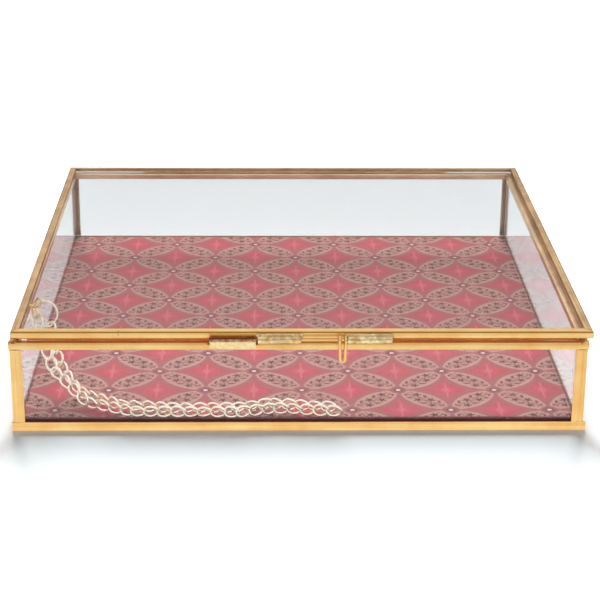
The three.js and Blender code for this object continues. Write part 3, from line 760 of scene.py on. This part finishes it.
def folded_post(name, turn, corner_shares, material):
    """One corner post: strip with fine ridges, folded once."""
    low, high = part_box(name)
    leg = high.x - low.x
    ridges = []
    for share in RIDGE_PLACE_SHARES:
        near = (share - RIDGE_HALF_SHARE) * leg
        far = (share + RIDGE_HALF_SHARE) * leg
        ridges += [(near, 0), (share * leg, -RIDGE), (far, 0)]
    plan = [(out, along) for along, out in reversed(ridges)]
    plan = [(0, leg)] + plan + [(0, 0)] + ridges + [(leg, 0)]
    bm = bmesh.new()
    folded_row(bm, [(x, y, low.z) for x, y in plan], [len(ridges) + 1])
    drawn_out(bm, bm.edges[:], (0, 0, high.z - low.z))
    walled(bm, SHEET, (0, -1, 0))
    corner = Vector((low.x + corner_shares[0] * leg, low.y + corner_shares[1] * leg, 0))
    place = Matrix.Translation(corner) @ Matrix.Rotation(math.radians(turn), 4, "Z")
    bmesh.ops.transform(bm, matrix=place, verts=bm.verts)
    finished(f"folded_{name}", bm, material, "base", [name], sharp_from=SHARP_ON_WIRE)


def turned_down_edge(material):
    """The inner edge of the lid's front rail, turned down inside the base."""
    low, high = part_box("lid_front_rail")
    start = low.x + EDGE_SHORT
    bm = bmesh.new()
    upper = bm.verts.new((start, high.y, low.z + SHEET))
    lower = bm.verts.new((start, high.y, low.z - EDGE_DEPTH))
    bm.edges.new((upper, lower))
    drawn_out(bm, bm.edges[:], (high.x - EDGE_SHORT - start, 0, 0))
    walled(bm, SHEET, (0, -1, 0))
    finished("lid_front_turned_edge", bm, material, "lid")


def brass_frame(bright, dulled, pale, crease_shaded):
    """Rails and posts of the base, and the rails of the lid. The sides, back posts and back bottom rail
    take a darker copy of the brass as painted shade, and the back rails a paler copy as painted light.
    """
    for side in SIDES:
        # Darker copy on the sides as painted shade, paler copy on the back rails as painted light
        brass = {"front": bright["X"], "back": pale}.get(side, dulled["Y"])
        # The lid's front rail has the front brass with a painted shade line along its fold
        lid_brass = crease_shaded if side == "front" else brass
        folded_rail(f"{side}_top_rail", side, TOP_CHANNEL_SHARES, brass, "base")
        folded_rail(f"lid_{side}_rail", side, LID_CHANNEL_SHARES, lid_brass, "lid", mitred=True)
    turned_down_edge(bright["X"])
    folded_rail("front_bottom_rail", "front", BOTTOM_ANGLE_SHARES, bright["X"], "base")
    give_finish(["back_bottom_rail"], dulled["X"], FOLD_SOFTNESS)
    give_finish(["left_bottom_rail", "right_bottom_rail"], dulled["Y"], FOLD_SOFTNESS)
    folded_post("front_left_post", 0, (0, 0), bright["Z"])
    folded_post("front_right_post", 90, (1, 0), bright["Z"])
    folded_post("back_right_post", 180, (1, 1), dulled["Z"])
    folded_post("back_left_post", 270, (0, 1), dulled["Z"])


# Liner

COVER_SHEET = 0.25 * MM
COVER_FOLD = 0.6 * MM
COVER_RIPPLE = 0.12 * MM
COVER_RIPPLE_LENGTH = 26 * MM
COVER_SQUARES = 60
COVER_PROUD = 1.0 * MM
COVER_PROUD_BACK = 2.0 * MM
# The hem lies forward over the strip before the board, dark with painted shade
COVER_HEM = 3.3 * MM
FRONT_TOLERANCE = 0.01 * MM


def pasted_cover(material):
    """The printed cotton: pasted flat on the board with faint ripples and turned down over its edges, with
    a hem that lies forward at the foot of the front edge. The hem takes the foot's painted shade and lays
    it over the strip in front of the board."""
    low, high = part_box("printed_cover")
    low = low - Vector((COVER_PROUD, 0, 0))
    high = high + Vector((COVER_PROUD, COVER_PROUD_BACK, 0))
    middle = (low + high) / 2
    size = high - low
    bm = bmesh.new()
    bmesh.ops.create_grid(bm, x_segments=COVER_SQUARES, y_segments=COVER_SQUARES, size=0.5)
    bmesh.ops.scale(bm, vec=(size.x, size.y, 1), verts=bm.verts)
    rim = [edge for edge in bm.edges if edge.is_boundary]
    drawn_out(bm, rim, (0, 0, -size.z))
    corners = [edge for edge in bm.edges if abs(edge.verts[0].co.z - edge.verts[1].co.z) > size.z / 2
               and abs(edge.verts[0].co.x) > size.x / 2 - COVER_FOLD
               and abs(edge.verts[0].co.y) > size.y / 2 - COVER_FOLD]
    rounded_off(bm, rim + corners, COVER_FOLD, EDGE_STEPS)
    foot = [edge for edge in bm.edges if edge.is_boundary and edge.calc_length() < size.x / 2
            and max(vert.co.y for vert in edge.verts) < -size.y / 2 + FRONT_TOLERANCE]
    drawn_out(bm, foot, (0, -COVER_HEM, 0))
    for vert in bm.verts:
        spot = Vector((vert.co.x, vert.co.y, 0)) / COVER_RIPPLE_LENGTH
        if vert.co.z > -COVER_FOLD / 2:
            vert.co.z -= COVER_RIPPLE * uneven(spot)
    walled(bm, COVER_SHEET, (0, 0, 1))
    bmesh.ops.translate(bm, vec=(middle.x, middle.y, high.z), verts=bm.verts)
    cover = finished("pasted_printed_cover", bm, material, "base", ["printed_cover"])


# Tubes, rods and wires

TUBE_ROUND = 40
WIRE_ROUND = 10
RING_ROUND = 48
TUBE_STEP = 1.2 * MM
KNUCKLE_WALL = 0.55 * MM
GUIDE_WALL = 1.0 * MM
GUIDE_DENT = 0.3 * MM
DENT_LENGTH = 4.5 * MM
DENT_NARROWING = 1.4
ROD_END = 0.25 * MM


def rolled_tube(name, wall, material, body, dent=0.0):
    """A tube along X in place of its CAD node, dented by hand where it asks for it."""
    low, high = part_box(name)
    middle = (low + high) / 2
    radius = (high.z - low.z) / 2
    length = high.x - low.x
    count = max(1, round(length / TUBE_STEP))
    bm = bmesh.new()
    made = bmesh.ops.create_circle(bm, segments=TUBE_ROUND, radius=radius)
    bmesh.ops.rotate(bm, matrix=Matrix.Rotation(math.radians(90), 3, "Y"), verts=made["verts"])
    bmesh.ops.translate(bm, vec=(-length / 2, 0, 0), verts=made["verts"])
    drawn_out(bm, bm.edges[:], (length / count, 0, 0), count)
    if dent:
        for vert in bm.verts:
            spot = Vector((vert.co.x, vert.co.y * DENT_NARROWING, vert.co.z * DENT_NARROWING)) / DENT_LENGTH
            vert.co.yz = vert.co.yz * (1 - dent / radius * uneven(spot))
    walled(bm, wall, (0, 0, 1))
    bmesh.ops.translate(bm, vec=middle, verts=bm.verts)
    finished(f"rolled_{name}", bm, material, body, [name])


def round_rod(name, material, body, end_round):
    """A rod along X with rounded ends, in place of its CAD node."""
    low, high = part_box(name)
    radius = (high.z - low.z) / 2
    bm = bmesh.new()
    bmesh.ops.create_cone(bm, segments=TUBE_ROUND, radius1=radius, radius2=radius, depth=high.x - low.x,
                          cap_ends=True)
    bmesh.ops.rotate(bm, matrix=Matrix.Rotation(math.radians(90), 3, "Y"), verts=bm.verts)
    rims = [edge for edge in bm.edges if abs(edge.verts[0].co.x - edge.verts[1].co.x) < end_round]
    rounded_off(bm, rims, end_round, EDGE_STEPS)
    bmesh.ops.translate(bm, vec=(low + high) / 2, verts=bm.verts)
    finished(f"drawn_{name}", bm, material, body, [name])


def bent_wire(bm, path, wire):
    """Draws a round section along a path and closes its ends."""
    turns = [(after - before).normalized() for before, after in zip(path, path[1:])]
    headings = [turns[0]] + [(a + b).normalized() for a, b in zip(turns, turns[1:])] + [turns[-1]]
    ring = bmesh.ops.create_circle(bm, segments=WIRE_ROUND, radius=wire)["verts"]
    first_turn = Vector((0, 0, 1)).rotation_difference(headings[0]).to_matrix()
    bmesh.ops.rotate(bm, matrix=first_turn, verts=ring)
    bmesh.ops.translate(bm, vec=path[0], verts=ring)
    edges = list({edge for vert in ring for edge in vert.link_edges})
    bmesh.ops.edgeloop_fill(bm, edges=edges)
    for number in range(1, len(path)):
        made = bmesh.ops.extrude_edge_only(bm, edges=edges)["geom"]
        fresh = {item for item in made if isinstance(item, bmesh.types.BMVert)}
        turn = headings[number - 1].rotation_difference(headings[number]).to_matrix()
        bmesh.ops.rotate(bm, cent=path[number - 1], matrix=turn, verts=list(fresh))
        bmesh.ops.translate(bm, vec=path[number] - path[number - 1], verts=list(fresh))
        edges = [edge for edge in bm.edges if edge.verts[0] in fresh and edge.verts[1] in fresh]
    bmesh.ops.edgeloop_fill(bm, edges=edges)


def wire_ring(bm, radius, wire, steps):
    """A round wire ring about the Y axis. Gives back its verts."""
    before = len(bm.verts)
    section = bmesh.ops.create_circle(bm, segments=WIRE_ROUND, radius=wire)["verts"]
    bmesh.ops.translate(bm, vec=(radius, 0, 0), verts=section)
    edges = list({edge for vert in section for edge in vert.link_edges})
    bmesh.ops.spin(bm, geom=section + edges, cent=(0, 0, 0), axis=(0, 1, 0), angle=math.tau, steps=steps,
                   use_merge=True)
    bm.verts.ensure_lookup_table()
    return bm.verts[before:]


# Closure

PULL_WIRE = 0.85 * MM
PULL_SPREAD = 3.2 * MM
PULL_TIP_SPREAD = 2.5 * MM
PULL_EYE_RADIUS = 1.6 * MM
PULL_ROUND = 14
KEEPER_SHEET = 0.3 * MM
KEEPER_ROLL = 1.1 * MM
KEEPER_ROLL_STEPS = 20
KEEPER_ROLL_TURN = 330


def wire_pull(material):
    """A bent wire: two eyes round the bolt and two legs that draw in to a round tip."""
    low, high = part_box("clasp_pull")
    axis = Vector(((low.x + high.x) / 2, pivots["pull_swing"].y, pivots["pull_swing"].z))
    tip_radius = PULL_TIP_SPREAD / 2
    tip_height = low.z + PULL_WIRE + tip_radius
    path = [axis + Vector((-PULL_SPREAD / 2, 0, -PULL_EYE_RADIUS))]
    for step in range(PULL_ROUND + 1):
        angle = math.pi * (1 + step / PULL_ROUND)
        sideways = tip_radius * math.cos(angle)
        upward = tip_radius * math.sin(angle)
        path.append(Vector((axis.x + sideways, axis.y, tip_height + upward)))
    path.append(axis + Vector((PULL_SPREAD / 2, 0, -PULL_EYE_RADIUS)))
    bm = bmesh.new()
    bent_wire(bm, path, PULL_WIRE)
    for way in (-1, 1):
        ring = wire_ring(bm, PULL_EYE_RADIUS, PULL_WIRE, RING_ROUND)
        bmesh.ops.rotate(bm, matrix=Matrix.Rotation(math.radians(90), 3, "Z"), verts=ring)
        bmesh.ops.translate(bm, vec=axis + Vector((way * PULL_SPREAD / 2, 0, 0)), verts=ring)
    finished("bent_wire_pull", bm, material, "pull", ["clasp_pull"], sharp_from=SHARP_ON_WIRE)


def curled_keeper(material):
    """A strip soldered to the rail, with its upper edge curled round the bolt."""
    low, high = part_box("keeper")
    bolt_low, bolt_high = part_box("clasp_bolt")
    axis = (bolt_low + bolt_high) / 2
    length = high.x - low.x
    plate = axis.y + KEEPER_ROLL
    bm = bmesh.new()
    foot = bm.verts.new((low.x, plate, low.z))
    neck = bm.verts.new((low.x, plate, axis.z))
    bm.edges.new((foot, neck))
    bmesh.ops.spin(bm, geom=[neck], cent=(low.x, axis.y, axis.z), axis=(1, 0, 0),
                   angle=math.radians(KEEPER_ROLL_TURN), steps=KEEPER_ROLL_STEPS)
    drawn_out(bm, bm.edges[:], (length, 0, 0))
    walled(bm, KEEPER_SHEET, (0, 0, 1))
    finished("curled_keeper", bm, material, "base", ["keeper"])


# Chain: the same pivots as the frame, with round twisted links

LINK_HALF = 4.08 * MM
CAD_LINK_HALF = 3.88 * MM
LINK_WIDTH_HALF = 3.0 * MM
LINK_WIRE = 0.65 * MM
LINK_PITCH = 7.0 * MM
LINK_TWIST = math.radians(24)
LINK_UNEVEN_ROLL = math.radians(26)
LINK_UNEVEN_YAW = math.radians(16)
# The links turn their broad side to someone who looks down into the box from the front
TO_THE_FRONT = Vector((0, -math.cos(CAMERA_PITCH), math.sin(CAMERA_PITCH)))
LINK_LEAN = math.radians(32)
# Where each link's unevenness is read from the noise
UNEVEN_SCALE = 0.37
UNEVEN_STEP = 1.7
YAW_SHIFT = Vector((0, 9, 4))
PIVOT_REACH = 0.75 * MM
LINK_ROUND = 40
STRANDS = {
    "base": {"links": (3, 3, 4, 4, 5, 3, 5), "last_heading": -8,
             "ring_radius": 7.0 * MM, "ring_wire": 0.6 * MM, "ring_faces": (0.04, -0.89, 0.45)},
    "lid": {"links": (4, 4, 4, 8, 3, 5), "last_heading": -7,
            "ring_radius": 2.4 * MM, "ring_wire": 0.5 * MM, "ring_faces": (-0.21, -0.88, 0.23)},
}


def link_mesh():
    """One curb link: a ring stretched along X and twisted so that its two ends stand crosswise."""
    bm = bmesh.new()
    wire_ring(bm, LINK_WIDTH_HALF, LINK_WIRE, LINK_ROUND)
    for vert in bm.verts:
        around = math.atan2(vert.co.z, vert.co.x)
        vert.co.x += (LINK_HALF - LINK_WIDTH_HALF) * math.cos(around)
        twist = LINK_TWIST * math.cos(around)
        vert.co = Matrix.Rotation(twist, 3, "X") @ vert.co
    mesh = bpy.data.meshes.new("link")
    bm.to_mesh(mesh)
    bm.free()
    return mesh


def run_directions(strand):
    """Where each run starts and which way it goes."""
    facts = STRANDS[strand]
    count = len(facts["links"])
    starts = [pivots[f"{strand}_chain_pivot_{number + 2}"] for number in range(count)]
    alongs = [(starts[number + 1] - starts[number]).normalized() for number in range(count - 1)]
    heading = math.radians(facts["last_heading"])
    alongs.append(Vector((math.cos(heading), math.sin(heading), 0)))
    return starts, alongs


def chain(material):
    """Both strands: a ring and one piece for each run of links."""
    one_link = link_mesh()
    for strand, facts in STRANDS.items():
        anchor = pivots[f"{strand}_chain_pivot_1"]
        starts, alongs = run_directions(strand)
        for number, links in enumerate(facts["links"]):
            along = alongs[number]
            facing = (TO_THE_FRONT - along * TO_THE_FRONT.dot(along)).normalized()
            side = Matrix.Rotation(LINK_LEAN, 3, along) @ facing
            turn = Matrix((along, side, along.cross(side))).transposed().to_4x4()
            bm = bmesh.new()
            for index in range(links):
                before = len(bm.verts)
                bm.from_mesh(one_link)
                bm.verts.ensure_lookup_table()
                along_run = CAD_LINK_HALF - PIVOT_REACH + index * LINK_PITCH
                spot = starts[number] / MM * UNEVEN_SCALE + Vector((index * UNEVEN_STEP, 0, 0))
                roll = Matrix.Rotation(LINK_UNEVEN_ROLL * noise.noise(spot), 4, "X")
                yaw = Matrix.Rotation(LINK_UNEVEN_YAW * noise.noise(spot + YAW_SHIFT), 4, "Z")
                bmesh.ops.transform(bm, matrix=Matrix.Translation((along_run, 0, 0)) @ yaw @ roll,
                                    verts=bm.verts[before:])
            bmesh.ops.transform(bm, matrix=Matrix.Translation(starts[number]) @ turn, verts=bm.verts)
            finished(f"{strand}_chain_links_{number + 1}", bm, material, f"{strand}_run_{number + 1}",
                     [f"{strand}_chain_run_{number + 1}"], sharp_from=SHARP_ON_WIRE)
        hangs = (starts[0] - anchor).normalized()
        faces = Vector(facts["ring_faces"])
        faces = (faces - hangs * faces.dot(hangs)).normalized()
        bm = bmesh.new()
        wire_ring(bm, facts["ring_radius"], facts["ring_wire"], RING_ROUND)
        turn = Matrix((hangs, faces, hangs.cross(faces))).transposed().to_4x4()
        centre = anchor + hangs * facts["ring_radius"]
        bmesh.ops.transform(bm, matrix=Matrix.Translation(centre) @ turn, verts=bm.verts)
        finished(f"{strand}_chain_wire_ring", bm, material, f"{strand}_ring",
                 [f"{strand}_chain_ring"], sharp_from=SHARP_ON_WIRE)


# Solder at the joints, as places and half sizes in millimetres

# The first lump, at the left front corner, is solder and also painted shade for the crevice under the lid's
# corner
BASE_SOLDER_AND_CORNER_SHADE = (
    ((-148.2, -148.3, 49.6), (2.2, 1.0, 0.55)),
    ((144.4, -149.2, 49.2), (0.6, 0.3, 0.5)),
    ((-47.9, -149.5, 49.4), (0.9, 0.7, 0.9)),
    ((-23.1, -149.5, 49.4), (0.9, 0.7, 0.9)),
)
BRIGHT_SOLDER = (
    ((146.6, -148.6, 48.6), (1.6, 0.9, 1.4)),
    ((-147.2, -149.1, 5.0), (1.6, 0.6, 0.5)),
    ((144.9, -149.1, 5.0), (1.5, 0.6, 0.5)),
)
LID_SOLDER = (
    ((-22.7, -148.2, 52.6), (0.9, 1.1, 1.4)),
    ((-0.2, -148.2, 52.6), (0.9, 1.1, 1.4)),
    ((23.4, -148.2, 52.6), (0.9, 1.1, 1.4)),
    ((46.5, -148.2, 52.6), (0.9, 1.1, 1.4)),
)
LUMP_UNEVEN_SHARE = 0.25
LUMP_NOISE_SCALE = 1.7


def solder(name, body, lumps, material):
    """Small melted lumps where pieces of brass are joined."""
    bm = bmesh.new()
    for place, half_size in lumps:
        lump = bmesh.ops.create_icosphere(bm, subdivisions=3, radius=1)["verts"]
        for vert in lump:
            vert.co *= 1 + LUMP_UNEVEN_SHARE * noise.noise(vert.co * LUMP_NOISE_SCALE + Vector(place))
        bmesh.ops.scale(bm, vec=Vector(half_size) * MM, verts=lump)
        bmesh.ops.translate(bm, vec=Vector(place) * MM, verts=lump)
    finished(name, bm, material, body, sharp_from=SHARP_NOWHERE)


# The whole scene

CUT_EDGE = 0.2 * MM

add_camera()
soft_studio()
pale_floor()
for name, place, width, power in LAMPS:
    soft_lamp(name, place, width, power)

bright_brass = {axis: rolled_brass(f"bright rolled brass along {axis}", "FFD992", "F5BC70", axis)
                for axis in "XYZ"}
# Darker copies are painted shade on sides and back posts; the paler one is painted light on the back rails
side_shaded_brass = {axis: rolled_brass(f"aged rolled brass along {axis}", "FCD29A", "CBA070", axis)
              for axis in "XYZ"}
back_lightened_brass = rolled_brass("pale rolled brass along X", "FFE6C2", "DFBA92", "X")
# The front brass again, with a painted shade line along the lid rail's fold
crease_shaded_brass = rolled_brass("creased rolled brass along X", "FFD992", "F5BC70", "X", LID_CREASE_SHADE)
tube_brass = dull_tube_brass()
browned = browned_brass()

brass_frame(bright_brass, side_shaded_brass, back_lightened_brass, crease_shaded_brass)
give_finish([f"{side}_pane" for side in SIDES] + ["bottom_pane", "lid_pane"], float_glass(), CUT_EDGE)
give_finish(["liner_board"], grey_board())
pasted_cover(printed_cotton())
for number in (1, 2, 3):
    rolled_tube(f"base_knuckle_{number}", KNUCKLE_WALL, tube_brass, "base")
for number in (1, 2):
    rolled_tube(f"lid_knuckle_{number}", KNUCKLE_WALL, tube_brass, "lid")
for name in ("inner_guide_tube", "outer_guide_tube"):
    rolled_tube(name, GUIDE_WALL, tube_brass, "lid", GUIDE_DENT)
round_rod("hinge_rod", browned, "base", ROD_END)
round_rod("clasp_bolt", bright_brass["X"], "bolt", ROD_END)
curled_keeper(keeper_brass())
wire_pull(bright_brass["Z"])
give_finish(["base_chain_eye", "lid_chain_eye"], bright_brass["Z"], FOLD_SOFTNESS)
chain(plated_chain_wire())
solder("base_solder_and_corner_shade", "base", BASE_SOLDER_AND_CORNER_SHADE, browned)
solder("bright_base_solder", "base", BRIGHT_SOLDER, bright_brass["X"])
solder("lid_solder", "lid", LID_SOLDER, tube_brass)

bpy.context.scene.view_settings.view_transform = "Standard"
